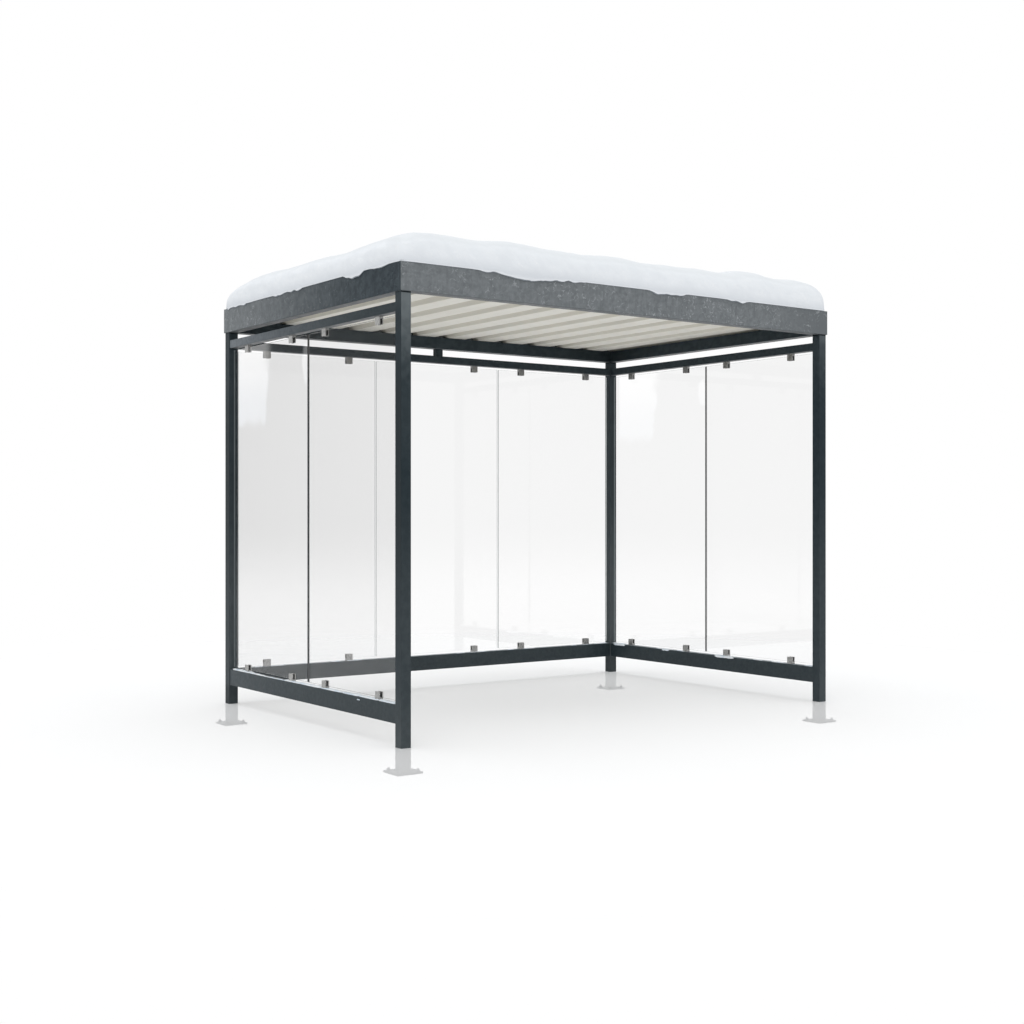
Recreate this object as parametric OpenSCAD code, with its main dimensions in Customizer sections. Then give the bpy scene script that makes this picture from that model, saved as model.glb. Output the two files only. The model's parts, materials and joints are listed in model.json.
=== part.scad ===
// Open-fronted smoking shelter: square-tube frame, clamped glass walls on three
// sides, folded fascia round a trapezoidal roof sheet, and snow lying on the roof.
// Millimetres, +X along the open front, +Y to the back wall, +Z up.
// The origin is at the middle of the plan, on the underside of the base plates.

/* [Overall] */
// Length over the corner posts
shelter_w = 3170; // [2700:10:3800]
// Depth over the corner posts
shelter_d = 2160; // [1800:10:2600]
// Height of the posts above ground level
head_height = 2350; // [2200:10:2600]
// Depth from ground level to the underside of the base plates
foot_depth = 130; // [80:5:250]

/* [Posts] */
// Width of the square posts
post_size = 60; // [60:5:80]
// Wall of the post tube
post_wall = 3; // [2:0.5:5]
// Outer corner radius of the post tube
post_corner = 2.5; // [2:0.5:8]
// Width of the square base plates
plate_size = 150; // [140:5:200]
// Thickness of the base plates
plate_thick = 10; // [6:1:15]
// Spacing of the four anchor holes
anchor_spacing = 110; // [100:5:115]
// Diameter of the anchor holes
anchor_hole = 14; // [10:1:18]

/* [Rails] */
// Thickness of the wall rails across the wall
rail_thick = 50; // [40:5:55]
// Height of the lower rails
lower_rail_h = 100; // [60:5:140]
// Height of the upper rails
upper_rail_h = 50; // [40:5:80]
// Wall of the rail tubes
rail_wall = 3; // [2:0.5:4]
// Outer corner radius of the rail tubes
rail_corner = 3; // [2:0.5:7]
// Clear height under the lower rails
rail_clear = 120; // [60:5:200]
// Clear height between the upper rails and the roof beams
rail_drop = 50; // [30:5:120]
// Width of the stub between the back upper rail and the roof beam
stub_w = 56; // [30:2:80]
// Depth of the stub across the wall
stub_depth = 40; // [30:5:50]

/* [Glass] */
// Glass thickness
glass_thick = 8; // [6:1:12]
// Clearance of the glass from the posts and rails
glass_gap = 15; // [10:1:20]
// Open joint between two panels
glass_joint = 10; // [6:1:20]
// Corner radius of a panel
glass_corner = 4; // [2:1:8]

/* [Clamps] */
// Width of a glass clamp
clamp_w = 45; // [35:1:60]
// Height of a glass clamp
clamp_h = 45; // [38:1:60]
// Thickness of each clamp jaw
jaw_thick = 6; // [4:0.5:9]
// Thickness of the rubber pads between jaw and glass
pad_thick = 2; // [1:0.5:3]
// Margin from the pad to the edges of its jaw
pad_margin = 3; // [2:0.5:5]
// Corner radius of the jaws
clamp_corner = 4; // [2:0.5:6]
// Distance from a panel's edge to the middle of the clamp
clamp_inset = 200; // [120:5:300]

/* [Roof] */
// Height of the roof beams
beam_h = 80; // [60:5:120]
// Width of the roof beams
beam_w = 60; // [30:5:60]
// Wall of the roof beams
beam_wall = 3; // [2:0.5:4]
// Outer corner radius of the roof beams
beam_corner = 3; // [2:0.5:7]
// How far the fascia stands above the ribs of the roof sheet
fascia_upstand = 35; // [25:5:80]
// Sheet thickness of the fascia
fascia_thick = 2; // [1:0.5:3]
// How far the fascia stands out from the posts
fascia_proud = 6; // [4:1:20]
// Width of the fascia's top return
return_w = 45; // [35:1:60]
// Depth of the lip that stiffens the top return
lip_h = 12; // [8:1:18]
// Thickness of the roof sheet
sheet_thick = 1; // [0.6:0.1:1.5]
// Spacing of the sheet's ribs
rib_pitch = 250; // [200:5:300]
// Depth of the ribs
rib_h = 35; // [25:1:38]
// Flat width of a rib's crown
rib_crown = 75; // [40:5:90]
// Width of a rib's sloping side in plan
rib_side = 20; // [12:1:28]
// How far the ribs are laid to the right of the roof's middle
rib_shift = 10; // [-30:5:30]

/* [Snow] */
// Depth of the snow above the fascia
snow_h = 170; // [120:2:200]
// Thickness of the snow that hangs over the fascia
snow_lip = 14; // [8:1:20]
// Plan radius of the snow's corners at its foot
snow_corner = 55; // [45:5:120]
// Reach of the snow's round shoulder from its edge
snow_shoulder = 110; // [90:5:180]

/* [Hidden] */
$fn = 32;

// Heights above the underside of the base plates
ground = foot_depth;
rail_foot = ground + rail_clear;
rail_top = rail_foot + lower_rail_h;
beam_foot = ground + head_height;
upper_top = beam_foot - rail_drop;
upper_foot = upper_top - upper_rail_h;
sheet_foot = beam_foot + beam_h;
fascia_h = beam_h + rib_h + fascia_upstand;
fascia_top = beam_foot + fascia_h;

// Half sizes of the plan
half_w = shelter_w / 2;
half_d = shelter_d / 2;

// The rails run along the middle of the posts
rail_middle = post_size / 2;
glass_foot = rail_top + glass_gap;
glass_h = upper_foot - glass_gap - glass_foot;
back_panels = 3;
side_panels = 2;
back_span = shelter_w - 2 * post_size;
side_span = shelter_d - 2 * post_size;
clamp_thick = glass_thick + 2 * (pad_thick + jaw_thick);
pad_h = clamp_h - glass_gap - pad_margin;
function panel_w(span, count) = (span - 2 * glass_gap - (count - 1) * glass_joint) / count;
function panel_start(span, count, i) = -span / 2 + glass_gap + i * (panel_w(span, count) + glass_joint);

// Ribs either side of the first one, as many as fit between the sheet's edges
rib_foot = rib_crown + 2 * rib_side;
rib_reach = half_w - (rib_foot + rib_side) / 2;
ribs_left = floor((rib_reach + rib_shift) / rib_pitch);
ribs_right = floor((rib_reach - rib_shift) / rib_pitch);
rib_bend = sheet_thick * tan(atan2(rib_h, rib_side) / 2);
crown_top = sheet_foot + rib_h + sheet_thick;

// A rectangle with round corners, its middle at the origin
module round_rect(w, h, r) {
    square([w - 2 * r, h], center = true);
    square([w, h - 2 * r], center = true);
    for (sx = [-1, 1], sy = [-1, 1])
        translate([sx * (w / 2 - r), sy * (h / 2 - r)])
            circle(r);
}

// A hollow rectangular section, its middle at the origin
module tube_section(w, h, wall, r) {
    difference() {
        round_rect(w, h, r);
        round_rect(w - 2 * wall, h - 2 * wall, max(r - wall, 0.5));
    }
}

// Puts children at one corner of the plan, turned so that +X and +Y point inwards
module at_corner(sx, sy) {
    translate([sx * half_w, sy * half_d, 0])
        mirror([sx > 0 ? 1 : 0, 0, 0])
            mirror([0, sy > 0 ? 1 : 0, 0])
                children();
}

// Puts children on one wall: X runs along the wall, Y = 0 on the posts' outer faces, +Y inwards
module on_wall(side) {
    turn = side == "front" ? 0 : side == "right" ? 90 : side == "back" ? 180 : 270;
    reach = side == "front" || side == "back" ? half_d : half_w;
    rotate([0, 0, turn])
        translate([0, -reach, 0])
            children();
}

// A post, from its base plate to the underside of the roof beams
module post(sx, sy) {
    color("darkslategray")
        at_corner(sx, sy)
            translate([post_size / 2, post_size / 2, plate_thick])
                linear_extrude(beam_foot - plate_thick)
                    tube_section(post_size, post_size, post_wall, post_corner);
}

// A base plate with its four anchor holes
module base_plate(sx, sy) {
    color("silver")
        at_corner(sx, sy)
            translate([post_size / 2, post_size / 2, 0])
                difference() {
                    linear_extrude(plate_thick)
                        round_rect(plate_size, plate_size, post_corner);
                    for (hx = [-1, 1], hy = [-1, 1])
                        translate([hx * anchor_spacing / 2, hy * anchor_spacing / 2, -1])
                            cylinder(h = plate_thick + 2, d = anchor_hole);
                }
}

// A wall rail between two posts, its underside at the given height
module rail(side, span, h, foot) {
    color("darkslategray")
        on_wall(side)
            translate([-span / 2, rail_middle, foot + h / 2])
                rotate([90, 0, 90])
                    linear_extrude(span)
                        tube_section(rail_thick, h, rail_wall, rail_corner);
}

// The stub that ties the back upper rail to the roof beam
module back_rail_stub() {
    color("darkslategray")
        on_wall("back")
            translate([0, rail_middle - rail_thick / 2 + stub_depth / 2, upper_top])
                linear_extrude(rail_drop)
                    tube_section(stub_w, stub_depth, rail_wall, rail_corner);
}

// One panel of a wall, counted from the wall's left end as seen from outside
module glass_panel(side, span, count, i) {
    w = panel_w(span, count);
    color("lightcyan", 0.35)
        on_wall(side)
            translate([panel_start(span, count, i) + w / 2, rail_middle + glass_thick / 2, glass_foot + glass_h / 2])
                rotate([90, 0, 0])
                    linear_extrude(glass_thick)
                        round_rect(w, glass_h, glass_corner);
}

// Puts children at every clamp of a wall, on the lower rail and hanging from the upper one,
// with the rail's face at Z = 0, +Z over the glass and the glass's middle at Y = 0
module at_clamps(side, span, count) {
    on_wall(side)
        for (i = [0 : count - 1], edge = [clamp_inset, panel_w(span, count) - clamp_inset], upper = [0, 1])
            translate([panel_start(span, count, i) + edge, rail_middle, upper ? upper_foot : rail_top])
                mirror([0, 0, upper])
                    children();
}

// The face of a jaw: square at the rail, round at its two free corners
module jaw_face() {
    translate([-clamp_w / 2, 0])
        square([clamp_w, clamp_h - clamp_corner]);
    translate([-clamp_w / 2 + clamp_corner, 0])
        square([clamp_w - 2 * clamp_corner, clamp_h]);
    for (sx = [-1, 1])
        translate([sx * (clamp_w / 2 - clamp_corner), clamp_h - clamp_corner])
            circle(clamp_corner);
}

// A jaw plate whose outer face lies on the clamp's outer face at Y = -clamp_thick / 2
module jaw_plate() {
    translate([0, -clamp_thick / 2 + jaw_thick, 0])
        rotate([90, 0, 0])
            linear_extrude(jaw_thick)
                jaw_face();
}

// The clamp body: the outer jaw and the seat under the glass's edge
module clamp_body() {
    jaw_plate();
    translate([-clamp_w / 2, -clamp_thick / 2 + jaw_thick / 2, 0])
        cube([clamp_w, clamp_thick - jaw_thick * 1.5, glass_gap]);
}

// The two rubber pads that hold the glass
module clamp_pads() {
    for (sy = [0, 1])
        mirror([0, sy, 0])
            translate([-clamp_w / 2 + pad_margin, glass_thick / 2, glass_gap])
                cube([clamp_w - 2 * pad_margin, pad_thick, pad_h]);
}

module clamps(side, span, count) {
    color("lightgray")
        at_clamps(side, span, count)
            clamp_body();
}

module clamp_covers(side, span, count) {
    color("silver")
        at_clamps(side, span, count)
            mirror([0, 1, 0])
                jaw_plate();
}

module pads(side, span, count) {
    color("dimgray")
        at_clamps(side, span, count)
            clamp_pads();
}

// Cuts both ends of a roof edge at 45 degrees, where the mitres start from Y = -out
module mitred(length, out) {
    end = length / 2 + out;
    reach = 2 * post_size;
    intersection() {
        children();
        translate([0, -out, beam_foot - 1])
            linear_extrude(fascia_h + 2)
                polygon([[-end, 0], [end, 0], [end - reach, reach], [reach - end, reach]]);
    }
}

// A roof beam, mitred at both ends
module roof_beam(side, length) {
    color("darkslategray")
        on_wall(side)
            mitred(length, 0)
                translate([-length / 2, beam_w / 2, beam_foot + beam_h / 2])
                    rotate([90, 0, 90])
                        linear_extrude(length)
                            tube_section(beam_w, beam_h, beam_wall, beam_corner);
}

// The folded section of the fascia: bottom return to the beam, face, top return and lip
module fascia_section() {
    translate([-fascia_proud, 0])
        square([fascia_proud, fascia_thick]);
    translate([-fascia_proud, 0])
        square([fascia_thick, fascia_h]);
    translate([-fascia_proud, fascia_h - fascia_thick])
        square([return_w, fascia_thick]);
    translate([-fascia_proud + return_w - fascia_thick, fascia_h - lip_h])
        square([fascia_thick, lip_h]);
}

// A side of the fascia, mitred at both ends
module fascia(side, length) {
    run = length + 2 * fascia_proud;
    color("slategray")
        on_wall(side)
            mitred(length, fascia_proud)
                translate([-run / 2, 0, beam_foot])
                    rotate([90, 0, 90])
                        linear_extrude(run)
                            fascia_section();
}

// One line of the sheet's section, from left to right, raised by t at right angles to the sheet
function sheet_line(t, bend) = [
    [-half_w, t],
    for (k = [-ribs_left : ribs_right]) let (x = rib_shift + k * rib_pitch) each [
        [x - rib_foot / 2 - bend, t],
        [x - rib_crown / 2 - bend, rib_h + t],
        [x + rib_crown / 2 + bend, rib_h + t],
        [x + rib_foot / 2 + bend, t]
    ],
    [half_w, t]
];

function reversed(list) = [for (i = [len(list) - 1 : -1 : 0]) list[i]];

// The trapezoidal roof sheet, its ribs running from the front to the back
module roof_sheet() {
    color("ivory")
        translate([0, half_d, sheet_foot])
            rotate([90, 0, 0])
                linear_extrude(shelter_d)
                    polygon(concat(sheet_line(0, 0), reversed(sheet_line(sheet_thick, rib_bend))));
}

// Snow that hangs over the fascia, side by side from the front left corner anticlockwise,
// as shares of the side's length and a drop: [middle, half width, drop]
snow_lobes = [
    [
        [0.16, 0.03, 8], [0.20, 0.03, 8], [0.247, 0.05, 27], [0.298, 0.04, 15], [0.345, 0.03, 10],
        [0.558, 0.035, 19], [0.595, 0.03, 14], [0.755, 0.03, 11]
    ],
    [[0.30, 0.08, 14], [0.68, 0.09, 18]],
    [[0.20, 0.07, 16], [0.46, 0.06, 10], [0.80, 0.08, 20]],
    [
        [0.05, 0.04, 12], [0.13, 0.05, 7], [0.35, 0.05, 10], [0.46, 0.045, 11],
        [0.78, 0.065, 22], [0.93, 0.05, 12]
    ]
];
// Drifts and hollows on top, as shares of the length and depth, a radius and a height
drifts = [
    [0.10, 0.06, 300, 14], [0.24, 0.10, 300, 32], [0.34, 0.10, 300, 14], [0.47, 0.10, 300, 26],
    [0.59, 0.10, 260, 12], [0.68, 0.10, 260, 22], [0.80, 0.10, 280, 50], [0.92, 0.08, 300, 26],
    [0.36, 0.42, 500, -14], [0.05, 0.78, 300, 10], [0.20, 0.70, 600, 12], [0.70, 0.70, 700, 16],
    [0.05, 0.33, 260, -12], [0.00, 0.00, 220, -10], [0.00, 1.00, 420, -55]
];
// Clearance between the snow and what it lies on
snow_seat = 0.3;
// Stations along the straight of each side, and round each corner
side_steps = [48, 24, 32, 32];
corner_steps = 5;
// Angles of the rings round the shoulder
shoulder_turns = [0, 18, 36, 54, 72, 90];
// Rings over the top, as shares of the way from the shoulder to the ridge
top_shares = [0.06, 0.15, 0.27, 0.42, 0.58, 0.75, 0.9];
// Share of the snow's depth at which its face turns into the shoulder
face_share = 0.28;

function along(k) = [cos(90 * k), sin(90 * k)];
function inward(k) = [-sin(90 * k), cos(90 * k)];
function side_run(k) = k % 2 == 0 ? shelter_w : shelter_d;
function corner_at(k) = [k == 1 || k == 2 ? half_w : -half_w, k > 1 ? half_d : -half_d];

// Point i on side k of a round-cornered outline that lies e inside the posts' outer
// faces, pushed out by a further distance
function outline_point(k, i, e, push) =
    let (
        r = min(snow_corner + max(e, 0) / 2, half_d - e - 1),
        s = e + r + min(i, side_steps[k]) * (side_run(k) - 2 * e - 2 * r) / side_steps[k],
        turn = max(0, i - side_steps[k]) * 90 / corner_steps,
        facing = cos(turn) * inward(k) - sin(turn) * along(k)
    )
    corner_at(k) + s * along(k) + (e + r) * inward(k) - (r + push) * facing;

// A smooth bump: 1 in the middle, 0 at the edge
function bump(u) = abs(u) < 1 ? pow(1 - u * u, 2) : 0;
function total(list, i = 0) = i < len(list) ? list[i] + total(list, i + 1) : 0;

// How far the snow hangs down at point i of side k: nothing at the corners
function hang(k, i) =
    let (share = i / side_steps[k], fade = min(1, 8 * share, max(0, 8 * (1 - share))))
    fade * total([for (lobe = snow_lobes[k]) lobe[2] * bump((share - lobe[0]) / lobe[1])]);

// Height of the snow above the fascia at a point of the plan
function crest(p) = snow_h + total([
    for (d = drifts)
        d[3] * bump(norm(p - [(d[0] - 0.5) * shelter_w, (d[1] - 0.5) * shelter_d]) / d[2])
]);

// A point of the snow: the outline at e, pushed out, at height z above the fascia
function snow_point(k, i, e, push, z) = concat(outline_point(k, i, e, push), [fascia_top + z]);

// The points of the snow over point i of side k, from the roof sheet up and over the top
function snow_rib(k, i) =
    let (
        inside = return_w - fascia_proud + 1,
        face = -fascia_proud - snow_seat,
        drop = hang(k, i),
        lip = snow_lip * (0.35 + 0.65 * min(1, drop / 12)),
        top = crest(outline_point(k, i, snow_shoulder, 0)),
        foot = face_share * top,
        ridge = half_d - snow_shoulder
    )
    concat(
        [
            snow_point(k, i, inside, 0, crown_top + snow_seat - fascia_top),
            snow_point(k, i, inside, 0, snow_seat),
            snow_point(k, i, face, 0, snow_seat),
            snow_point(k, i, face, lip * 0.3, -drop - snow_seat),
            snow_point(k, i, face, lip * 0.8, -drop + lip * 0.2),
            snow_point(k, i, face, lip, -drop + lip * 0.8)
        ],
        [for (a = shoulder_turns)
            snow_point(k, i, snow_shoulder + (face - snow_shoulder) * cos(a), lip * 0.7 * cos(a),
                foot + (top - foot) * sin(a))],
        [for (t = top_shares) let (e = snow_shoulder + t * ridge)
            snow_point(k, i, e, 0, crest(outline_point(k, i, e, 0)))]
    );

// Snow on the roof: it lies on the sheet's ribs and hangs over the fascia in places
module roof_snow() {
    ribs = [for (k = [0 : 3], i = [0 : side_steps[k] + corner_steps - 1]) snow_rib(k, i)];
    n = len(ribs);
    m = len(ribs[0]);
    points = concat(
        [for (rib = ribs) each rib],
        [[0, 0, crown_top + snow_seat], [0, 0, fascia_top + crest([0, 0])]]
    );
    faces = [
        for (i = [0 : n - 1]) let (a = i * m, b = (i + 1) % n * m) each concat(
            [[n * m, a, b], [n * m + 1, b + m - 1, a + m - 1]],
            [for (j = [0 : m - 2]) each [[a + j, a + j + 1, b + j + 1], [a + j, b + j + 1, b + j]]]
        )
    ];
    color("snow")
        polyhedron(points, faces);
}

post(-1, -1);  // front_left_post
post(1, -1);  // front_right_post
post(-1, 1);  // back_left_post
post(1, 1);  // back_right_post
base_plate(-1, -1);  // front_left_base_plate
base_plate(1, -1);  // front_right_base_plate
base_plate(-1, 1);  // back_left_base_plate
base_plate(1, 1);  // back_right_base_plate
rail("left", side_span, lower_rail_h, rail_foot);  // left_lower_rail
rail("back", back_span, lower_rail_h, rail_foot);  // back_lower_rail
rail("right", side_span, lower_rail_h, rail_foot);  // right_lower_rail
rail("left", side_span, upper_rail_h, upper_foot);  // left_upper_rail
rail("back", back_span, upper_rail_h, upper_foot);  // back_upper_rail
rail("right", side_span, upper_rail_h, upper_foot);  // right_upper_rail
back_rail_stub();
glass_panel("left", side_span, side_panels, 1);  // left_glass_front
glass_panel("left", side_span, side_panels, 0);  // left_glass_back
glass_panel("right", side_span, side_panels, 0);  // right_glass_front
glass_panel("right", side_span, side_panels, 1);  // right_glass_back
glass_panel("back", back_span, back_panels, 2);  // back_glass_left
glass_panel("back", back_span, back_panels, 1);  // back_glass_middle
glass_panel("back", back_span, back_panels, 0);  // back_glass_right
clamps("left", side_span, side_panels);  // left_clamps
clamps("back", back_span, back_panels);  // back_clamps
clamps("right", side_span, side_panels);  // right_clamps
clamp_covers("left", side_span, side_panels);  // left_clamp_covers
clamp_covers("back", back_span, back_panels);  // back_clamp_covers
clamp_covers("right", side_span, side_panels);  // right_clamp_covers
pads("left", side_span, side_panels);  // left_clamp_pads
pads("back", back_span, back_panels);  // back_clamp_pads
pads("right", side_span, side_panels);  // right_clamp_pads
roof_beam("front", shelter_w);  // front_roof_beam
roof_beam("back", shelter_w);  // back_roof_beam
roof_beam("left", shelter_d);  // left_roof_beam
roof_beam("right", shelter_d);  // right_roof_beam
fascia("front", shelter_w);  // front_fascia
fascia("back", shelter_w);  // back_fascia
fascia("left", shelter_d);  // left_fascia
fascia("right", shelter_d);  // right_fascia
roof_sheet();
roof_snow();
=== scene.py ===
# Smoking shelter under snow: finishes, fittings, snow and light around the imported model.
# Metres, +X along the open front, +Y to the back wall, +Z up.
import json
import math

import bmesh
import bpy
from mathutils import Matrix, Vector, noise


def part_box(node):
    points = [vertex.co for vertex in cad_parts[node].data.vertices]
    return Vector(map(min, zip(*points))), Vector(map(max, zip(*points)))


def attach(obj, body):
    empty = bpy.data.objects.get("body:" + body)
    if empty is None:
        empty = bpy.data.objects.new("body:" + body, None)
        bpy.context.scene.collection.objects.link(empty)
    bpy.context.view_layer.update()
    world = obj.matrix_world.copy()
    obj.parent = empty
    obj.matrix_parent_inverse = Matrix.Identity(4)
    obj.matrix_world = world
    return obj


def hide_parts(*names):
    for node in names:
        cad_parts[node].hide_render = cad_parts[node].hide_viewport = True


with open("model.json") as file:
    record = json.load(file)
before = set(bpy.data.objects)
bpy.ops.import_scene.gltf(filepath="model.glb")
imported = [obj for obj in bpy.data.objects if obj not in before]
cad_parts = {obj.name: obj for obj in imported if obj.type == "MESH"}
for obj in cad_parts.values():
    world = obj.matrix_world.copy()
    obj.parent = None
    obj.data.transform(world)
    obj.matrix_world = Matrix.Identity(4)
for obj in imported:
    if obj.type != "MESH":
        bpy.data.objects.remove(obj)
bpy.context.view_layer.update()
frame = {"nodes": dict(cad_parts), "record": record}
nodes = frame["nodes"]

groundLevel = 0.13  # finished ground, above the underside of the base plates
wallSides = ("left", "back", "right")
corners = ("front_left", "front_right", "back_left", "back_right")
print("packed model loaded:", len(nodes), "nodes")


# A socket in a material's node tree; sums on it add Math nodes
class Wire:
    def __init__(self, tree, socket=None):
        self.tree = tree
        self.socket = socket

    # Any node: its settings first, then the values or links of its sockets
    def node(self, kind, settings=None, inputs=None, output=0):
        made = self.tree.nodes.new(kind)
        for name, value in (settings or {}).items():
            setattr(made, name, value)
        for name, value in (inputs or {}).items():
            if isinstance(value, Wire):
                self.tree.links.new(value.socket, made.inputs[name])
            else:
                made.inputs[name].default_value = value
        return Wire(self.tree, made.outputs[output])

    def maths(self, operation, first, second):
        return self.node("ShaderNodeMath", {"operation": operation}, {0: first, 1: second})

    def __add__(self, other):
        return self.maths("ADD", self, other)

    def __radd__(self, other):
        return self.maths("ADD", other, self)

    def __sub__(self, other):
        return self.maths("SUBTRACT", self, other)

    def __rsub__(self, other):
        return self.maths("SUBTRACT", other, self)

    def __mul__(self, other):
        return self.maths("MULTIPLY", self, other)

    def __rmul__(self, other):
        return self.maths("MULTIPLY", other, self)

    def __pow__(self, other):
        return self.maths("POWER", self, other)

    def __abs__(self):
        return self.node("ShaderNodeMath", {"operation": "ABSOLUTE"}, {0: self})

    # 0 below low, 1 above high, smooth between
    def smooth(self, low, high):
        settings = {"interpolation_type": "SMOOTHSTEP"}
        return self.node("ShaderNodeMapRange", settings, {"Value": self, "From Min": low, "From Max": high})

    # This mask picks between two colours
    def pick(self, off, on):
        values = {0: self}
        for index, colour in ((6, off), (7, on)):
            values[index] = colour if isinstance(colour, Wire) else (*colour, 1.0)
        return self.node("ShaderNodeMix", {"data_type": "RGBA"}, values, 2)


# A new material: its tree's maker and its output
def startMaterial(name):
    material = bpy.data.materials.new(name)
    material.use_nodes = True
    material.node_tree.nodes.clear()
    return material, Wire(material.node_tree)


def endMaterial(material, shader):
    output = material.node_tree.nodes.new("ShaderNodeOutputMaterial")
    material.node_tree.links.new(shader.socket, output.inputs["Surface"])
    return material


def objectPlace(make):
    return make.node("ShaderNodeTexCoord", {}, {}, "Object")


# Place on the shelter: to the right, to the back and up
def objectAxes(make):
    return [
        make.node("ShaderNodeSeparateXYZ", {}, {"Vector": objectPlace(make)}, axis)
        for axis in ("X", "Y", "Z")
    ]


# 1 on faces that look the given way
def facing(make, way):
    normal = make.node("ShaderNodeTexCoord", {}, {}, "Normal")
    turned = make.node("ShaderNodeVectorMath", {"operation": "DOT_PRODUCT"}, {0: normal, 1: way}, "Value")
    return turned.smooth(0.5, 0.9)


# Noise on the piece's own coordinates, with features about the given size in metres
def grain(make, size, detail=2.0, stretch=(1, 1, 1), shift=0.0):
    place = make.node(
        "ShaderNodeMapping", {}, {"Vector": objectPlace(make), "Location": (shift,) * 3, "Scale": stretch}
    )
    return make.node("ShaderNodeTexNoise", {}, {"Vector": place, "Scale": 1 / size, "Detail": detail})


def bumped(make, height, distance, strength=1.0):
    return make.node("ShaderNodeBump", {}, {"Height": height, "Distance": distance, "Strength": strength})


def surface(make, **sockets):
    inputs = {name.replace("_", " "): value for name, value in sockets.items()}
    for name, value in inputs.items():
        if isinstance(value, tuple) and len(value) == 3:
            inputs[name] = (*value, 1.0)
    return make.node("ShaderNodeBsdfPrincipled", {}, inputs)


paint = {
    "deep": (0.019, 0.029, 0.035),
    "pale": (0.029, 0.041, 0.048),
    "shadow": (0.013, 0.018, 0.02),
    "bloom": (0.155, 0.176, 0.184),  # painted highlight at the heads of the front posts, standing in for the sky reflected there
    "haze": (0.085, 0.097, 0.102),  # pale tone: lighter towards the ground and on the back posts, and painted light on the rails, the beams and high under the roof
    "far": (0.19, 0.21, 0.228),  # painted light on the left wall's outer faces, stronger towards the back
    "under": (0.165, 0.172, 0.178),  # bare zinc on the undersides
    "underFront": (0.125, 0.135, 0.142),
    "frost": (0.3, 0.35, 0.38),  # on the tops of the low rails
    "buried": ((0.2, 0.205, 0.208), (0.7, 0.71, 0.715)),  # bare zinc below the ground, painted lighter towards the back right, where the floor shades it
    # base plates, dark to light: painted lighter towards the back right, where the floor shades them
    "plate": ((0.04, 0.042, 0.043), (0.5, 0.51, 0.515)),
    "cloud": 0.045,  # size of the mottling that shows through from the zinc
    "fleck": 0.006,
    "roughness": 0.42,
}


# The frame's dark blue-grey enamel, mottled by the zinc below it
def enamel(make):
    cloud = grain(make, paint["cloud"], 3.0).smooth(0.38, 0.62)
    fleck = grain(make, paint["fleck"], 1.0, shift=4.0).smooth(0.45, 0.7)
    return cloud, (cloud * 0.45 + fleck * 0.35 + 0.1).pick(paint["deep"], paint["pale"])


def enamelled(make, material, base, cloud):
    peel = bumped(make, grain(make, 0.004, 1.0), 0.0001, 0.3)
    shader = surface(
        make, Base_Color=base, Roughness=paint["roughness"] + 0.1 * (cloud - 0.5),
        Specular_IOR_Level=0.05, Normal=peel,
    )
    return endMaterial(material, shader)


# Posts: lighter towards the ground, a painted highlight on the heads of the front ones (on their fronts and
# on the left one's outer face), painted shade on the left ones' outer faces and at the back ones' feet, a
# painted shadow line under the fascia, paler on the back ones, painted light high on the front right one's
# inner face, and bare zinc where they are buried
def postPaint():
    material, make = startMaterial("postPaint")
    across, along, height = objectAxes(make)
    cloud, base = enamel(make)
    west = across.smooth(0.5, -0.5)
    back = along.smooth(0.5, 0.9)
    frontward = facing(make, (0, -1, 0))
    leftward = facing(make, (-1, 0, 0))
    outer = leftward * across.smooth(-1.4, -1.5)
    inner = leftward * across.smooth(1.4, 1.5) * (1.0 - back)
    rising = height.smooth(1.6, 0.7) * (0.44 + back * frontward * (0.4 - 0.28 * west) - 0.12 * inner)
    nearGround = height.smooth(0.5, 0.13) * (0.24 - 0.22 * inner) + height.smooth(0.3, 0.13) * 0.25 * outer
    nearGround = nearGround * (1.0 - back)
    paleLift = (rising + nearGround) * (0.84 + 0.16 * cloud) * (1.0 - 0.45 * outer * height.smooth(0.3, 0.6))
    # Paler on the back posts, and painted light high on the front right post's inner face, under the roof
    dust = back * (0.32 - west * 0.14) + inner * height.smooth(2.0, 2.4) * 0.2
    base = (paleLift + dust).pick(base, paint["haze"])
    # Painted shade on the left posts' outer faces at mid height, and at the feet of the back posts
    shaded = outer * height.smooth(0.7, 1.3) * height.smooth(2.2, 1.9) + back * height.smooth(0.27, 0.22)
    base = (shaded * 0.45).pick(base, paint["shadow"])
    # Painted highlight, standing in for the sky reflected at the heads of the front posts: on their fronts,
    # most on the left one, and on the left one's outer face
    headHighlight = (height + 0.06 * cloud).smooth(2.0, 2.6) * (0.3 + 0.7 * west)
    headHighlight = headHighlight + 0.08 * height.smooth(1.5, 1.8) * west
    headHighlight = headHighlight + 0.25 * height.smooth(2.4, 2.46) * (1.0 - west)
    headHighlight = headHighlight * frontward + 0.12 * height.smooth(2.36, 2.43) * outer
    base = (headHighlight * along.smooth(-0.9, -1.0)).pick(base, paint["bloom"])
    # Painted shadow line where the fascia sits on the post's head
    fasciaShadow = height.smooth(2.469, 2.475) * (1.0 - 0.8 * outer)
    base = fasciaShadow.pick(base, paint["shadow"])
    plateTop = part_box("front_left_base_plate")[1].z
    # Painted light: the buried zinc and the base plates lighter towards the back right, where the floor
    # shades them
    share = (along * 0.45 + 0.5) * (across * 0.17 + 0.74)
    buried = height.smooth(plateTop - 0.0005, plateTop + 0.0005).pick(
        share.pick(*paint["plate"]), share.pick(*paint["buried"])
    )
    base = height.smooth(groundLevel + 0.0005, groundLevel - 0.0005).pick(base, buried)
    return enamelled(make, material, base, cloud)
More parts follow.
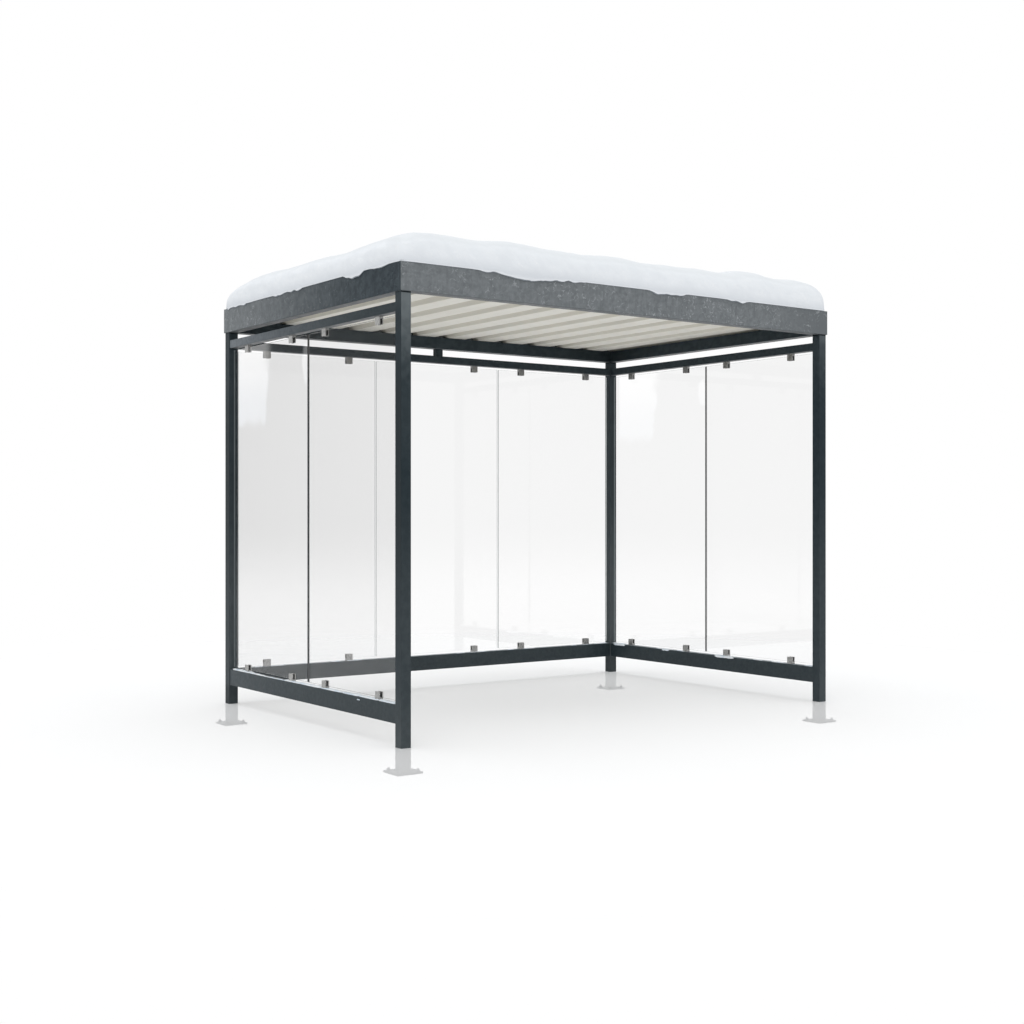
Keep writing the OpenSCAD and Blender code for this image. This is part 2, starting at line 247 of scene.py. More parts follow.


# Rails: painted light on the left wall's outer faces, stronger towards the back; all paler with painted
# light, more on the low rails, with painted shade in the back right corner
def railPaint():
    material, make = startMaterial("railPaint")
    across, along, height = objectAxes(make)
    cloud, base = enamel(make)
    low = height.smooth(1.4, 1.3)
    west = across.smooth(-1.4, -1.5)
    corner = across.smooth(1.2, 1.5) * along.smooth(0.7, 1.0)
    speckle = grain(make, 0.018, 4.0, shift=6.0).smooth(0.3, 0.7)
    end = across.smooth(-0.6, -0.8) * (1.0 - west)
    # Painted light: paler all over, more on the low rails and less to the right and towards the back rail's
    # left end, with painted shade in the back right corner
    paleLift = 0.2 + low * (0.26 - 0.12 * across.smooth(0.3, 1.4) - 0.25 * corner - 0.12 * end)
    base = (paleLift + 0.16 * (speckle - 0.5)).pick(base, paint["haze"])
    # Painted light on the left wall's outer faces, stronger towards the back, mostly on the upper rail
    pale = facing(make, (-1, 0, 0)) * west * (along * 0.48 + 0.5) ** 2.0 * (1.0 - 0.78 * low)
    base = (pale * (0.85 + 0.3 * speckle)).pick(base, paint["far"])
    base = (facing(make, (0, 0, 1)) * low * (1.0 - west) * (0.5 + 0.5 * speckle)).pick(base, paint["frost"])
    return enamelled(make, material, facing(make, (0, 0, -1)).pick(base, paint["under"]), cloud)


# Roof beams: paler all over as painted light, with painted shade in the back right corner, where the roof
# shades them most, and towards the left
def beamPaint():
    material, make = startMaterial("beamPaint")
    across, along, _ = objectAxes(make)
    cloud, base = enamel(make)
    # Painted light: paler all over
    base = (cloud * 0.1 + 0.18).pick(base, paint["haze"])
    # Painted shade in the back right corner and towards the left
    corner = across.smooth(0.6, 1.5) * along.smooth(0.2, 1.0)
    west = across.smooth(-0.8, -0.95)
    base = (corner * 0.6 + west * 0.4).pick(base, paint["shadow"])
    under = along.smooth(-0.95, -1.0).pick(paint["under"], paint["underFront"])
    return enamelled(make, material, facing(make, (0, 0, -1)).pick(base, under), cloud)


zinc = {
    "dull": (0.15, 0.163, 0.171),
    "plain": (0.225, 0.241, 0.25),
    "bright": (0.38, 0.4, 0.41),
    # shade and dim: painted shade on the left side, towards the front
    "shade": (0.027, 0.037, 0.045),
    "dim": (0.083, 0.103, 0.116),
    "bend": (0.09, 0.1, 0.106),  # painted shade along the folds
    "crystal": 0.014,
    "scratch": 0.04,
    "roughness": 0.42,
}


# Weathered zinc sheet: blotchy spangle with clusters of short curved scratches. Its left side has painted
# shade, darker towards the front, with upright runs; the front's right end and the folds have painted shade
# too
def fasciaZinc():
    material, make = startMaterial("fasciaZinc")
    across, along, height = objectAxes(make)
    wander = grain(make, 0.03, 2.0)
    bent = make.node(
        "ShaderNodeVectorMath", {"operation": "MULTIPLY_ADD"},
        {0: wander, 1: (0.02, 0.02, 0.02), 2: objectPlace(make)},
    )
    spangle = make.node(
        "ShaderNodeTexVoronoi", {}, {"Vector": bent, "Scale": 1 / zinc["crystal"]}, "Color"
    )
    crystal = make.node("ShaderNodeSeparateColor", {}, {"Color": spangle})
    haze = grain(make, 0.04, 4.0, shift=7.0).smooth(0.35, 0.65)
    runs = grain(make, 0.012, 3.0, (1, 1, 0.12), 9.0).smooth(0.35, 0.65)
    line = abs(grain(make, zinc["scratch"], 2.0, shift=2.0) - 0.5).smooth(0.03, 0.008)
    broken = grain(make, 0.02, 2.0, shift=5.0).smooth(0.44, 0.6)
    cluster = grain(make, 0.13, 2.0, shift=11.0).smooth(0.33, 0.6)
    mark = line * broken * cluster * 0.75
    left = facing(make, (-1, 0, 0))
    # Painted shade on the left side, darker towards the front; its scratches are painted dim there
    near = along.smooth(1.1, -0.9) * left
    tone = crystal * 0.4 + haze * 0.4 + runs * 0.2
    lit = tone.pick(zinc["dull"], zinc["plain"])
    dark = (runs * 0.12 + haze * 0.28 + crystal * 0.2).pick(zinc["shade"], zinc["dim"])
    # Painted shade at the right end of the front face
    base = (across.smooth(0.9, 1.7) * (1.0 - left)).pick(near.pick(lit, dark), zinc["dull"])
    colour = mark.pick(base, near.pick(zinc["bright"], zinc["dim"]))
    low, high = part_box("front_fascia")
    # Painted shade along the bottom fold and the mitred end
    foldShade = height.smooth(low.z + 0.005, low.z + 0.001) + across.smooth(high.x - 0.007, high.x - 0.002)
    colour = (foldShade * 0.6).pick(colour, near.pick(zinc["bend"], zinc["shade"]))
    shine = zinc["roughness"] + 0.12 * (crystal - 0.5)
    dents = bumped(make, crystal + mark, 0.0001, 0.4)
    shader = surface(
        make, Base_Color=colour, Roughness=shine, Specular_IOR_Level=0.05, Normal=dents
    )
    return endMaterial(material, shader)


coil = {
    "shade": (0.8, 0.77, 0.69),
    "light": (0.85, 0.83, 0.755),
    "rib": (0.7, 0.67, 0.59),  # painted shade inside the ribs, seen from below
    # crown: painted shade too, lighter than at the rib's foot
    "crown": (0.77, 0.74, 0.66),
    "roughness": 0.5,
}


# Grey-white coil coating on the roof sheet, a little uneven along the ribs, with painted shade inside the
# ribs, lighter towards their crowns
def roofCoating():
    material, make = startMaterial("roofCoating")
    height = objectAxes(make)[2]
    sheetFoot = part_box("roof_sheet")[0].z
    streak = grain(make, 0.12, 3.0, (1.0, 0.15, 1.0)).smooth(0.3, 0.7)
    # Painted shade inside the ribs, lighter towards their crowns
    inside = height.smooth(sheetFoot + 0.01, sheetFoot + 0.035).pick(coil["rib"], coil["crown"])
    base = height.smooth(sheetFoot + 0.001, sheetFoot + 0.004).pick(
        streak.pick(coil["shade"], coil["light"]), inside
    )
    peel = bumped(make, grain(make, 0.003, 1.0), 0.0001, 0.2)
    shader = surface(
        make, Base_Color=base, Roughness=coil["roughness"], Specular_IOR_Level=0.3, Normal=peel
    )
    return endMaterial(material, shader)


pane = {
    "tint": (0.986, 0.986, 0.986),  # what each face lets through
    # dim and bright: painted reflection in the mirror layer, dim above and bright towards the ground
    "dim": {"left": (0.1, 0.1, 0.1), "back": (0.3, 0.3, 0.3), "right": (0.3, 0.3, 0.3)},
    "bright": {"left": (0.62, 0.62, 0.62), "back": (1.0, 1.0, 1.0), "right": (0.9, 0.9, 0.9)},
    "joint": {"left": (0.003, 0.003, 0.003), "back": (0.36, 0.38, 0.38), "right": (0.008, 0.008, 0.008)},
    "clear": (0.88, 0.9, 0.9),  # painted highlight on the ends that catch the sky
    # end: painted light on the panels' outer ends
    "end": {"left": (0.13, 0.15, 0.16), "back": (0.75, 0.78, 0.78), "right": (0.19, 0.22, 0.23)},
    # sky, skyLow and glow: the glowing painted reflection of the sky on the side walls
    "sky": (1.0, 1.0, 1.0),
    "skyLow": (0.5, 0.56, 0.64),
    "glow": 1.05,
}


# Clear toughened glass: see-through faces that mirror more at a slant, with a painted reflection dim above
# and bright towards the ground; on the side walls a glowing painted reflection of a ragged pale patch of
# sky high up at the back, with a spot of it and painted highlights beside the joint; and polished edges:
# dark at the joints, with painted light on the outer ends and, on the back wall, painted highlights on one
# side of each joint
def wallGlass(side, halfSpan):
    material, make = startMaterial("wallGlass." + side)
    across, along, height = objectAxes(make)
    run = across if side == "back" else along
    slant = make.node("ShaderNodeLayerWeight", {}, {"Blend": 0.5}, "Facing")
    share = make.node("ShaderNodeMath", {"operation": "MINIMUM"}, {0: 0.04 + 0.96 * slant ** 5.0, 1: 0.3})
    # Painted reflection: the mirror's tint is dim above and bright towards the ground
    ground = height.smooth(1.3, 0.7)
    tint = ground.pick(pane["dim"][side], pane["bright"][side])
    mirror = {"Base_Color": tint, "Metallic": 1.0, "Roughness": 0.02}
    if side != "back":
        # Glowing painted reflection of the sky: a ragged patch high up at the back, a small spot just
        # behind the joint, and painted highlights beside the joint
        ragged = grain(make, 0.12, 4.0, shift=3.0) - 0.5
        place = run + 0.17 * height + 0.12 * ragged
        soft = height.smooth(2.15, 2.28)
        cloud = soft.pick(place.smooth(0.875, 0.915), place.smooth(0.83, 1.0))
        cloud = make.node("ShaderNodeSeparateColor", {}, {"Color": cloud}) * run.smooth(0.96, 0.93)
        cloud = cloud * (height + 0.1 * ragged).smooth(1.84, 1.95)
        flat = make.node("ShaderNodeCombineXYZ", {}, {"X": run * 1.6, "Y": height * 0.55})
        spot = make.node(
            "ShaderNodeVectorMath", {"operation": "DISTANCE"}, {0: flat, 1: (0.06, 1.21, 0.0)}, "Value"
        )
        patch = (spot + 0.12 * ragged).smooth(0.07, 0.04) * run.smooth(0.0, 0.01) * 0.75
        jointHighlight = abs(run).smooth(0.004, 0.006) * abs(run).smooth(0.016, 0.012) * 0.6
        sky = height.smooth(1.95, 2.35).pick(pane["skyLow"], pane["sky"])
        mirror["Emission_Color"] = (cloud + patch + jointHighlight).smooth(0.0, 1.0).pick((0, 0, 0), sky)
        mirror["Emission_Strength"] = pane["glow"]
    clear = make.node("ShaderNodeBsdfTransparent", {}, {"Color": (*pane["tint"], 1.0)})
    face = make.node("ShaderNodeMixShader", {}, {0: share, 1: clear, 2: surface(make, **mirror)})
    wayOut = (0, 1, 0) if side == "back" else (1, 0, 0)
    onFace = facing(make, wayOut) + facing(make, tuple(-v for v in wayOut))
    ends = abs(run).smooth(halfSpan - 0.06, halfSpan - 0.05)
    joint = pane["joint"][side]
    # On the back wall the panel end to the left of each joint gets the painted highlight
    if side == "back":
        third = halfSpan / 3
        leftEnd = run.smooth(-third + 0.001, -third - 0.001)
        leftEnd = leftEnd + run.smooth(-0.2, 0.2) * run.smooth(third + 0.001, third - 0.001)
        joint = leftEnd.pick(pane["joint"][side], pane["clear"])
    rim = surface(make, Base_Color=ends.pick(joint, pane["end"][side]), Roughness=0.25)
    shader = make.node("ShaderNodeMixShader", {}, {0: onFace, 1: rim, 2: face})
    return endMaterial(material, shader)


steel = {
    "dark": (0.22, 0.221, 0.218),
    "light": (0.46, 0.458, 0.448),
    "shade": (0.14, 0.142, 0.14),
    "roughness": 0.3,
}


# Ground stainless steel with fine upright marks, with painted shade under the roof except on the left
# wall's outer side
def clampSteel():
    material, make = startMaterial("clampSteel")
    marks = grain(make, 0.0015, 2.0, (1.0, 1.0, 0.08)).smooth(0.3, 0.7)
    across, _, height = objectAxes(make)
    # Painted shade high up, under the roof, except on the left wall's outer clamps
    shaded = height.smooth(1.0, 2.0) * across.smooth(-1.56, -1.54)
    base = (shaded * 0.42).pick(marks.pick(steel["dark"], steel["light"]), steel["shade"])
    shader = surface(
        make, Base_Color=base, Metallic=1.0,
        Roughness=steel["roughness"] + 0.12 * (marks - 0.5), Normal=bumped(make, marks, 0.00005, 0.3),
    )
    return endMaterial(material, shader)


def clampRubber():
    material, make = startMaterial("clampRubber")
    dust = grain(make, 0.004, 2.0).smooth(0.4, 0.7)
    shader = surface(
        make, Base_Color=dust.pick((0.012, 0.012, 0.012), (0.03, 0.03, 0.03)), Roughness=0.8
    )
    return endMaterial(material, shader)


zincFixing = {"dark": (0.1, 0.11, 0.115), "light": (0.2, 0.21, 0.22)}


def fixingZinc():
    material, make = startMaterial("fixingZinc")
    bloom = grain(make, 0.006, 3.0).smooth(0.35, 0.65)
    shader = surface(
        make, Base_Color=bloom.pick(zincFixing["dark"], zincFixing["light"]), Metallic=0.6, Roughness=0.45
    )
    return endMaterial(material, shader)


drift = {
    "hollow": (0.872, 0.898, 0.928),
    "side": (0.905, 0.93, 0.957),
    # low: painted shade on the lower band
    "low": (0.73, 0.757, 0.793),
    # top: painted shade on the top and on the front's slopes
    "top": (0.8, 0.825, 0.845),
    "lip": (0.93, 0.95, 0.98),  # painted highlight along the lower edge
    # crease: painted highlight on the ridges of the wrinkles
    "crease": (0.97, 0.98, 0.99),
    "under": (0.3, 0.33, 0.36),  # painted shade on the underside of the overhang
}


# Settled snow: soft slanting drifts, with painted shade low down, on the top and on the front's slopes,
# faintly blue in its hollows, with painted highlights along its lower edge and on its creases, painted
# shade under the overhang, and a fine crust
def snowCover():
    material, make = startMaterial("snowCover")
    _, along, height = objectAxes(make)
    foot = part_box("front_fascia")[1].z
    slanted = make.node(
        "ShaderNodeMapping", {"vector_type": "TEXTURE"},
        {"Vector": objectPlace(make), "Rotation": (-0.8, -0.8, 0.0), "Scale": (1.0, 1.0, 4.0)},
    )
    band = make.node("ShaderNodeTexNoise", {}, {"Vector": slanted, "Scale": 16.0, "Detail": 4.0})
    wrinkle = make.node("ShaderNodeTexNoise", {}, {"Vector": slanted, "Scale": 24.0, "Detail": 2.0})
    # Painted highlight on the ridges of the wrinkles
    crease = abs(wrinkle - 0.5).smooth(0.035, 0.0) * band.smooth(0.45, 0.6) * 0.5
    crust = grain(make, 0.02, 4.0)
    side = band.smooth(0.35, 0.6).pick(drift["hollow"], drift["side"])
    side = crease.pick(side, drift["crease"])
    # Painted shade low down
    side = (height.smooth(foot + 0.07, foot - 0.01) * 0.85).pick(side, drift["low"])
    normal = make.node("ShaderNodeTexCoord", {}, {}, "Normal")
    tilt = make.node("ShaderNodeSeparateXYZ", {}, {"Vector": normal}, "Z")
    # Painted shade on the top faces, and towards the front on the slopes too
    front = along.smooth(-0.85, -1.0) * 0.4
    base = (tilt.smooth(0.5, 0.9) + tilt.smooth(0.0, 0.5) * front).smooth(0.0, 1.0).pick(side, drift["top"])
    # Painted highlight along the lower edge
    base = (tilt.smooth(0.05, -0.25) * 0.7).pick(base, drift["lip"])
    # Painted shade under the overhang
    base = tilt.smooth(-0.55, -0.8).pick(base, drift["under"])
    shader = surface(
        make, Base_Color=base, Roughness=0.85, Specular_IOR_Level=0.2,
        Normal=bumped(make, crust * 0.5 + band + crease * 0.6, 0.006, 0.4),
    )
    return endMaterial(material, shader)


finishes = {
    "post": postPaint(),
    "rail": railPaint(),
    "beam": beamPaint(),
    "fascia_zinc": fasciaZinc(),
    "roof_sheet": roofCoating(),
    "clamp_steel": clampSteel(),
    "clamp_rubber": clampRubber(),
    "snow": snowCover(),
}
for side in wallSides:
    low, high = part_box(side + "_upper_rail")
    finishes["wall_glass_" + side] = wallGlass(side, max(high.x - low.x, high.y - low.y) / 2)

for part in frame["record"]["subparts"]:
    slot = part["material_slot"]
    if slot == "wall_glass":
        slot += "_" + part["node"].split("_")[0]
    if slot in ("frame_paint", "foot_steel"):
        slot = next((kind for kind in ("rail", "beam") if kind in part["node"]), "post")
    mesh = nodes[part["node"]].data
    mesh.materials.clear()
    mesh.materials.append(finishes[slot])
print("finishes:", len(finishes))


# Turns a bmesh into a piece of the shelter
def addPiece(name, shape, material, sharpAngle=None):
    mesh = bpy.data.meshes.new(name)
    shape.to_mesh(mesh)
    shape.free()
    mesh.materials.append(material)
    piece = bpy.data.objects.new(name, mesh)
    bpy.context.scene.collection.objects.link(piece)
    if sharpAngle is not None:
        mesh.shade_smooth()
        mesh.set_sharp_from_angle(angle=math.radians(sharpAngle))
    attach(piece, "root")
    return piece


def middle(low, high):
    return (low + high) / 2


anchor = {
    "spacing": 0.11,
    "studR": 0.005,
    "studUp": 0.006,
    "nutR": 0.0098,
    "nutH": 0.0084,
    "washerR": 0.0105,
    "washerH": 0.002,
    "bevel": 0.0008,
}


# A washer, a nut and the end of a stud at each hole of a base plate
def addAnchors(corner):
    low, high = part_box(corner + "_base_plate")
    centre = middle(low, high)
    shape = bmesh.new()
    for sx in (-1, 1):
        for sy in (-1, 1):
            foot = Vector((
                centre.x + sx * anchor["spacing"] / 2, centre.y + sy * anchor["spacing"] / 2, high.z
            ))
            stack = (
                (24, anchor["washerR"], anchor["washerH"], 0.0),
                (6, anchor["nutR"], anchor["nutH"], anchor["washerH"]),
                (16, anchor["studR"], anchor["nutH"] + anchor["studUp"], anchor["washerH"]),
            )
            turn = Matrix.Rotation(0.3 * sx + 0.5 * sy, 4, "Z")
            for sides, radius, height, up in stack:
                made = bmesh.ops.create_cone(
                    shape, cap_ends=True, segments=sides, radius1=radius, radius2=radius, depth=height,
                    matrix=Matrix.Translation(foot + Vector((0, 0, up + height / 2))) @ turn,
                )
                edges = {e for v in made["verts"] for e in v.link_edges}
                rims = [e for e in edges if abs(e.verts[0].co.z - e.verts[1].co.z) < 1e-6]
                bmesh.ops.bevel(
                    shape, geom=rims, offset=anchor["bevel"], affect="EDGES", segments=2, profile=0.5,
                    material=-1,
                )
    return addPiece(corner + "_anchor_nuts", shape, fixingMetal, 40)


fixingMetal = fixingZinc()
for corner in corners:
    addAnchors(corner)
print("anchor nuts added")

snowLayer = {
    "fine": 0.006, "fineSize": 0.16,
    "ripple": 0.004, "rippleSize": 0.05,
    "nick": 0.004, "nickSize": 0.06,
    "fuller": 0.005,
    "merge": 0.05, "mergeHalf": (1.1, 0.4),  # where the solid's slivers meet, mid-roof
    # extra hang at the lower edge, as [place along the side, half width, drop]
    "sag": {
        "front": ([-0.88, 0.1, 0.014], [-0.69, 0.05, 0.007], [0.14, 0.08, 0.008], [0.82, 0.05, 0.007]),
        "left": ([-0.65, 0.085, 0.013], [1.04, 0.06, 0.01]),
    },
}


# How much lower the snow hangs at a point of its lower edge
def sagAt(place):
    side, run = ("left", place.y) if place.x < -1.588 else ("front", place.x)
    if side == "front" and place.y > -1.083:
        return 0.0
    return sum(
        max(0.0, 1 - ((run - centre) / width) ** 2) ** 2 * drop
        for centre, width, drop in snowLayer["sag"][side]
    )


# The snow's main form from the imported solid, made finer: shallow slanting ridges, and a lower
# edge broken into small steps where it hangs
def addRoofSnow():
    shape = bmesh.new()
    shape.from_mesh(nodes["roof_snow"].data)
    bmesh.ops.remove_doubles(shape, verts=shape.verts, dist=1e-5)
    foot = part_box("front_fascia")[1].z
    halfX, halfY = snowLayer["mergeHalf"]
    inner = [v for v in shape.verts if v.co.z > foot + 0.1 and abs(v.co.x) < halfX and abs(v.co.y) < halfY]
    bmesh.ops.remove_doubles(shape, verts=inner, dist=snowLayer["merge"])
    bmesh.ops.subdivide_edges(shape, edges=shape.edges, cuts=3, use_grid_fill=True, smooth=0.0)
    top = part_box("roof_snow")[1].z
    for _ in range(8):
        upper = [v for v in shape.verts if v.co.z > foot + 0.004]
        bmesh.ops.smooth_vert(
            shape, verts=upper, factor=0.5, use_axis_x=True, use_axis_y=True, use_axis_z=True
        )
    shape.normal_update()
    lean = Matrix.Rotation(0.8, 3, "X") @ Matrix.Rotation(0.8, 3, "Y")
    for v in shape.verts:
        if v.co.z > foot + 0.004:
            lift = min(1.0, (v.co.z - foot) / 0.05)
            swell = noise.noise(v.co / snowLayer["fineSize"]) * snowLayer["fine"]
            turned = lean @ v.co
            turned.z /= 4
            ripple = noise.noise(turned / snowLayer["rippleSize"]) * snowLayer["ripple"]
            v.co -= v.normal * lift * (abs(swell) + abs(ripple))
            v.co.z = min(v.co.z + lift * snowLayer["fuller"] * max(0.0, v.normal.z), top)
        elif v.co.z < foot:
            sag = sagAt(v.co)
            hang = min(1.0, (foot - v.co.z + sag) / 0.006)
            step = noise.noise(Vector((v.co.x, v.co.y, 0.0)) / snowLayer["nickSize"]) * 4
            v.co.z += hang * snowLayer["nick"] * max(-1.0, min(1.0, step)) - sag
    piece = addPiece("snow_on_roof", shape, finishes["snow"], 180)
    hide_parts("roof_snow")


addRoofSnow()
print("roof snow added")

ice = {"wet": (0.7, 0.79, 0.88), "dry": (0.93, 0.97, 1.0)}


# Thin refrozen snow, wet and bluish in places
def railIce():
    material, make = startMaterial("railIce")
    streak = grain(make, 0.03, 4.0, (1.0, 0.4, 1.0)).smooth(0.35, 0.6)
    crust = grain(make, 0.006, 3.0)
    shader = surface(
        make, Base_Color=streak.pick(ice["wet"], ice["dry"]), Roughness=0.4, Specular_IOR_Level=0.3,
        Normal=bumped(make, crust, 0.002, 0.5),
    )
    return endMaterial(material, shader)


# Snow left on the low rails, as [start, end, from, to, depth] in millimetres: along the wall, and
# across the rail from its outer edge
railSnow = {
    "left": (
        [-1019, -815, 0, 49, 11], [-850, -600, 1, 48, 9], [-640, -420, 0, 49, 10], [-450, -160, 1, 46, 8],
        [-200, 90, 0, 48, 11], [40, 300, 0, 44, 9], [260, 560, 0, 12, 6], [520, 760, 0, 17, 8],
        [700, 1019, 0, 40, 12],
    ),
    "back": (
        [-1400, -1345, 20, 49, 8], [-1290, -1190, 18, 49, 9], [-850, -780, 25, 49, 8],
        [-735, -610, 22, 50, 8], [140, 215, 30, 49, 5], [255, 400, 28, 49, 6], [580, 640, 30, 49, 4],
        [720, 830, 28, 49, 5],
        [1160, 1215, 30, 49, 4], [1270, 1330, 30, 49, 5], [1390, 1518, 10, 49, 8],
    ),
    "right": (
        [840, 1018, 8, 50, 8], [330, 520, 12, 50, 7], [205, 290, 20, 49, 6], [-300, -90, 14, 50, 8],
        [-560, -470, 26, 49, 5], [-760, -640, 24, 49, 5], [-1018, -930, 16, 49, 7],
    ),
    "step": 0.006,
    "ragged": 0.004,
}
# Bits frozen to a rail's face, as [start, end, down from, down to, depth]
faceSnow = {
    "left": ([-645, -610, 12, 20, 3],),
    "right": ([850, 985, -2, 13, 5], [360, 440, -2, 10, 5], [-300, -110, -3, 13, 6]),
}


# A low mound on a flat face: its corner, the ways along, across and off the face, and its size
def addMound(shape, corner, ways, start, end, near, far, depth):
    along, across, off = ways
    rows = max(6, round((end - start) / railSnow["step"]))
    made = bmesh.ops.create_grid(shape, x_segments=rows, y_segments=6, size=0.5)
    for v in made["verts"]:
        share, part = v.co.x + 0.5, v.co.y + 0.5
        taper = min(1.0, 6 * share, 6 * (1 - share)) ** 0.5
        run = start + share * (end - start)
        rag = noise.noise(Vector((run / 0.03, near * 50, part))) * railSnow["ragged"]
        centre, half = (near + far) / 2, (far - near) / 2 * taper
        place = centre + (2 * part - 1) * max(0.0, half - abs(rag))
        swell = 0.6 + 0.4 * noise.noise(Vector((run / 0.04, part * 2, far * 50)))
        rise = depth * taper * swell * (1 - (2 * part - 1) ** 4)
        v.co = corner + along * run + across * place + off * (rise + 0.0002)
    faces = {f for v in made["verts"] for f in v.link_faces}
    rim = [e for f in faces for e in f.edges if e.is_boundary]
    bmesh.ops.holes_fill(shape, edges=list(set(rim)), sides=0)


def addRailSnow(side):
    low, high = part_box(side + "_lower_rail")
    along = Vector((1, 0, 0)) if side == "back" else Vector((0, 1, 0))
    across = {"left": Vector((1, 0, 0)), "back": Vector((0, -1, 0)), "right": Vector((-1, 0, 0))}[side]
    outer = Vector((low.x if side == "left" else high.x, high.y, high.z))
    corner = Vector([0.0 if along[i] else outer[i] for i in range(3)])
    shape = bmesh.new()
    for row in railSnow[side]:
        addMound(shape, corner, (along, across, Vector((0, 0, 1))), *(value / 1000 for value in row))
    inner = corner + across * min(high.x - low.x, high.y - low.y)
    for row in faceSnow.get(side, ()):
        face, off = (corner, -across) if side == "left" else (inner, across)
        addMound(shape, face, (along, Vector((0, 0, -1)), off), *(value / 1000 for value in row))
    bmesh.ops.recalc_face_normals(shape, faces=shape.faces)
    return addPiece(side + "_rail_snow", shape, iceFinish, 180)


iceFinish = railIce()
for side in wallSides:
    addRailSnow(side)
print("rail snow added")

# Button-head screws in the clamp covers, as rings of [sides, radius, height]
clampScrew = {
    "rings": (
        [20, 0.0048, -0.0002], [20, 0.0047, 0.001], [20, 0.0038, 0.002],
        [6, 0.0021, 0.0023], [6, 0.002, 0.0008],
    ),
    "inward": {"left": (0, 90), "back": (90, 0), "right": (0, -90)},
}


# The boxes of a node's separate solids
def solidBoxes(node):
    shape = bmesh.new()
    shape.from_mesh(nodes[node].data)
    bmesh.ops.remove_doubles(shape, verts=shape.verts, dist=1e-5)
    left = set(shape.verts)
    boxes = []
    while left:
        edge = [left.pop()]
        solid = list(edge)
        while edge:
            for e in edge.pop().link_edges:
                for v in e.verts:
                    if v in left:
                        left.remove(v)
                        edge.append(v)
                        solid.append(v)
        low = Vector([min(v.co[i] for v in solid) for i in range(3)])
        high = Vector([max(v.co[i] for v in solid) for i in range(3)])
        boxes.append((low, high))
    shape.free()
    return boxes


def addClampScrews(side):
    shape = bmesh.new()
    for low, high in solidBoxes(side + "_clamp_covers"):
        seat = middle(low, high)
        turnX, turnY = clampScrew["inward"][side]
        turn = Matrix.Rotation(math.radians(turnY), 4, "Y") @ Matrix.Rotation(math.radians(turnX), 4, "X")
        if side == "back":
            seat.y = low.y
        else:
            seat.x = high.x if side == "left" else low.x
        rings = []
        ends = (clampScrew["rings"][0], clampScrew["rings"][-1])
        for row in clampScrew["rings"]:
            sides, radius, up = row
            made = bmesh.ops.create_circle(
                shape, cap_ends=row in ends, segments=sides, radius=radius,
                matrix=Matrix.Translation(seat) @ turn @ Matrix.Translation((0, 0, up)),
            )
            ring = set(made["verts"])
            rings.append([e for v in ring for e in v.link_edges if e.other_vert(v) in ring])
        for lower, upper in zip(rings, rings[1:]):
            bmesh.ops.bridge_loops(shape, edges=list(set(lower + upper)))
    bmesh.ops.recalc_face_normals(shape, faces=shape.faces)
    return addPiece(side + "_clamp_screws", shape, finishes["clamp_steel"], 35)


for side in wallSides:
    addClampScrews(side)
print("clamp screws added")


floorSheet = {"radius": 14.0, "solidTo": 2.9, "clearFrom": 6.5, "show": 0.57, "showSlope": 0.1}


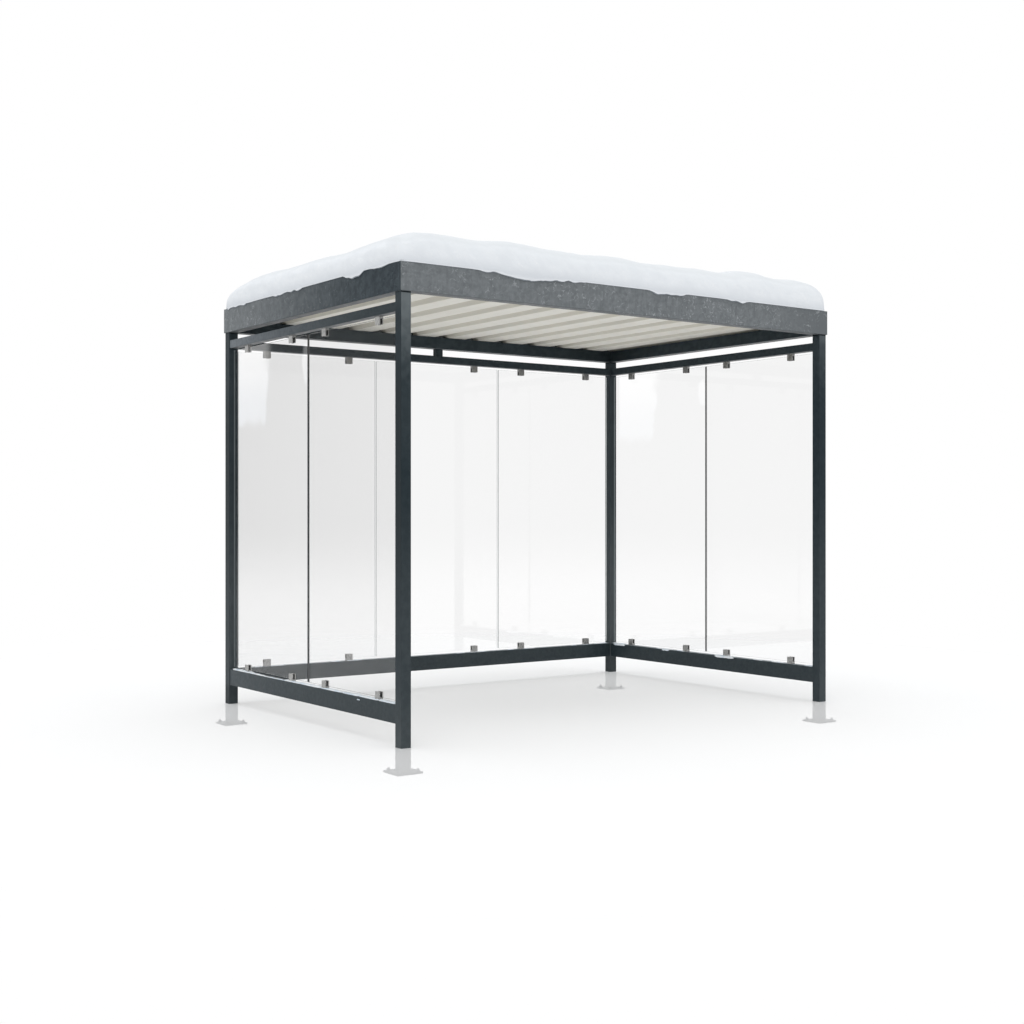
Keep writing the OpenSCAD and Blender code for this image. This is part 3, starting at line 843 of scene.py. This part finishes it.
# A pale floor at ground level: it takes the shadow, lets the buried feet show through
# faintly, and fades out before its edge
def addFloor():
    shape = bmesh.new()
    bmesh.ops.create_circle(shape, cap_ends=True, segments=96, radius=floorSheet["radius"])
    bmesh.ops.translate(shape, verts=shape.verts, vec=(0, 0, groundLevel))
    mesh = bpy.data.meshes.new("floor")
    shape.to_mesh(mesh)
    shape.free()
    material, make = startMaterial("floorWhite")
    away = make.node("ShaderNodeVectorMath", {"operation": "LENGTH"}, {0: objectPlace(make)}, "Value")
    across, along, _ = objectAxes(make)
    show = floorSheet["show"] + floorSheet["showSlope"] * (across + along).smooth(-2.6, 2.6)
    solid = show * (1.0 - away.smooth(floorSheet["solidTo"], floorSheet["clearFrom"]))
    white = make.node("ShaderNodeBsdfDiffuse", {}, {"Color": (0.985, 0.985, 0.985, 1.0)})
    clear = make.node("ShaderNodeBsdfTransparent")
    mesh.materials.append(
        endMaterial(material, make.node("ShaderNodeMixShader", {}, {0: solid, 1: clear, 2: white}))
    )
    floor = bpy.data.objects.new("floor", mesh)
    bpy.context.scene.collection.objects.link(floor)


addFloor()

light = {
    "sky": 0.72, "tint": (0.97, 0.985, 1.0),
    "sun": 1.04, "sunAngle": 60.0,
    "fill": 0.35, "fillAngle": 40.0,
}


# White to look at and in reflections, and a plain soft light on the object
def addSky():
    world = bpy.data.worlds.new("sky")
    bpy.context.scene.world = world
    world.use_nodes = True
    tree = world.node_tree
    tree.nodes.clear()
    make = Wire(tree)
    path = tree.nodes.new("ShaderNodeLightPath")
    rays = ("Is Camera Ray", "Is Glossy Ray", "Is Transmission Ray")
    seen = sum(Wire(tree, path.outputs[name]) for name in rays)
    shown = make.node("ShaderNodeBackground", {}, {"Color": (1, 1, 1, 1), "Strength": 1.0})
    lighting = make.node(
        "ShaderNodeBackground", {}, {"Color": (*light["tint"], 1), "Strength": light["sky"]}
    )
    mixed = make.node("ShaderNodeMixShader", {}, {0: seen.smooth(0.0, 1.0), 1: lighting, 2: shown})
    output = tree.nodes.new("ShaderNodeOutputWorld")
    tree.links.new(mixed.socket, output.inputs["Surface"])


# A wide soft lamp, leaning from straight overhead and turned about the vertical
def addSun(name, energy, angle, lean, turn):
    data = bpy.data.lights.new(name, "SUN")
    data.energy = energy
    data.angle = math.radians(angle)
    sun = bpy.data.objects.new(name, data)
    sun.rotation_euler = (math.radians(lean), 0, math.radians(turn))
    bpy.context.scene.collection.objects.link(sun)


def addCamera():
    data = bpy.data.cameras.new("camera")
    data.lens = 50.2
    data.sensor_width = 36.0
    camera = bpy.data.objects.new("camera", data)
    camera.location = (-5.370, -7.367, 1.344)
    camera.rotation_euler = (math.radians(90), 0, math.radians(-35.49))
    bpy.context.scene.collection.objects.link(camera)
    bpy.context.scene.camera = camera


addSky()
addSun("sun", light["sun"], light["sunAngle"], 0, 0)
addSun("fill", light["fill"], light["fillAngle"], 80, -42)
addCamera()
bpy.context.scene.view_settings.view_transform = "Standard"
print("floor, light and camera set")
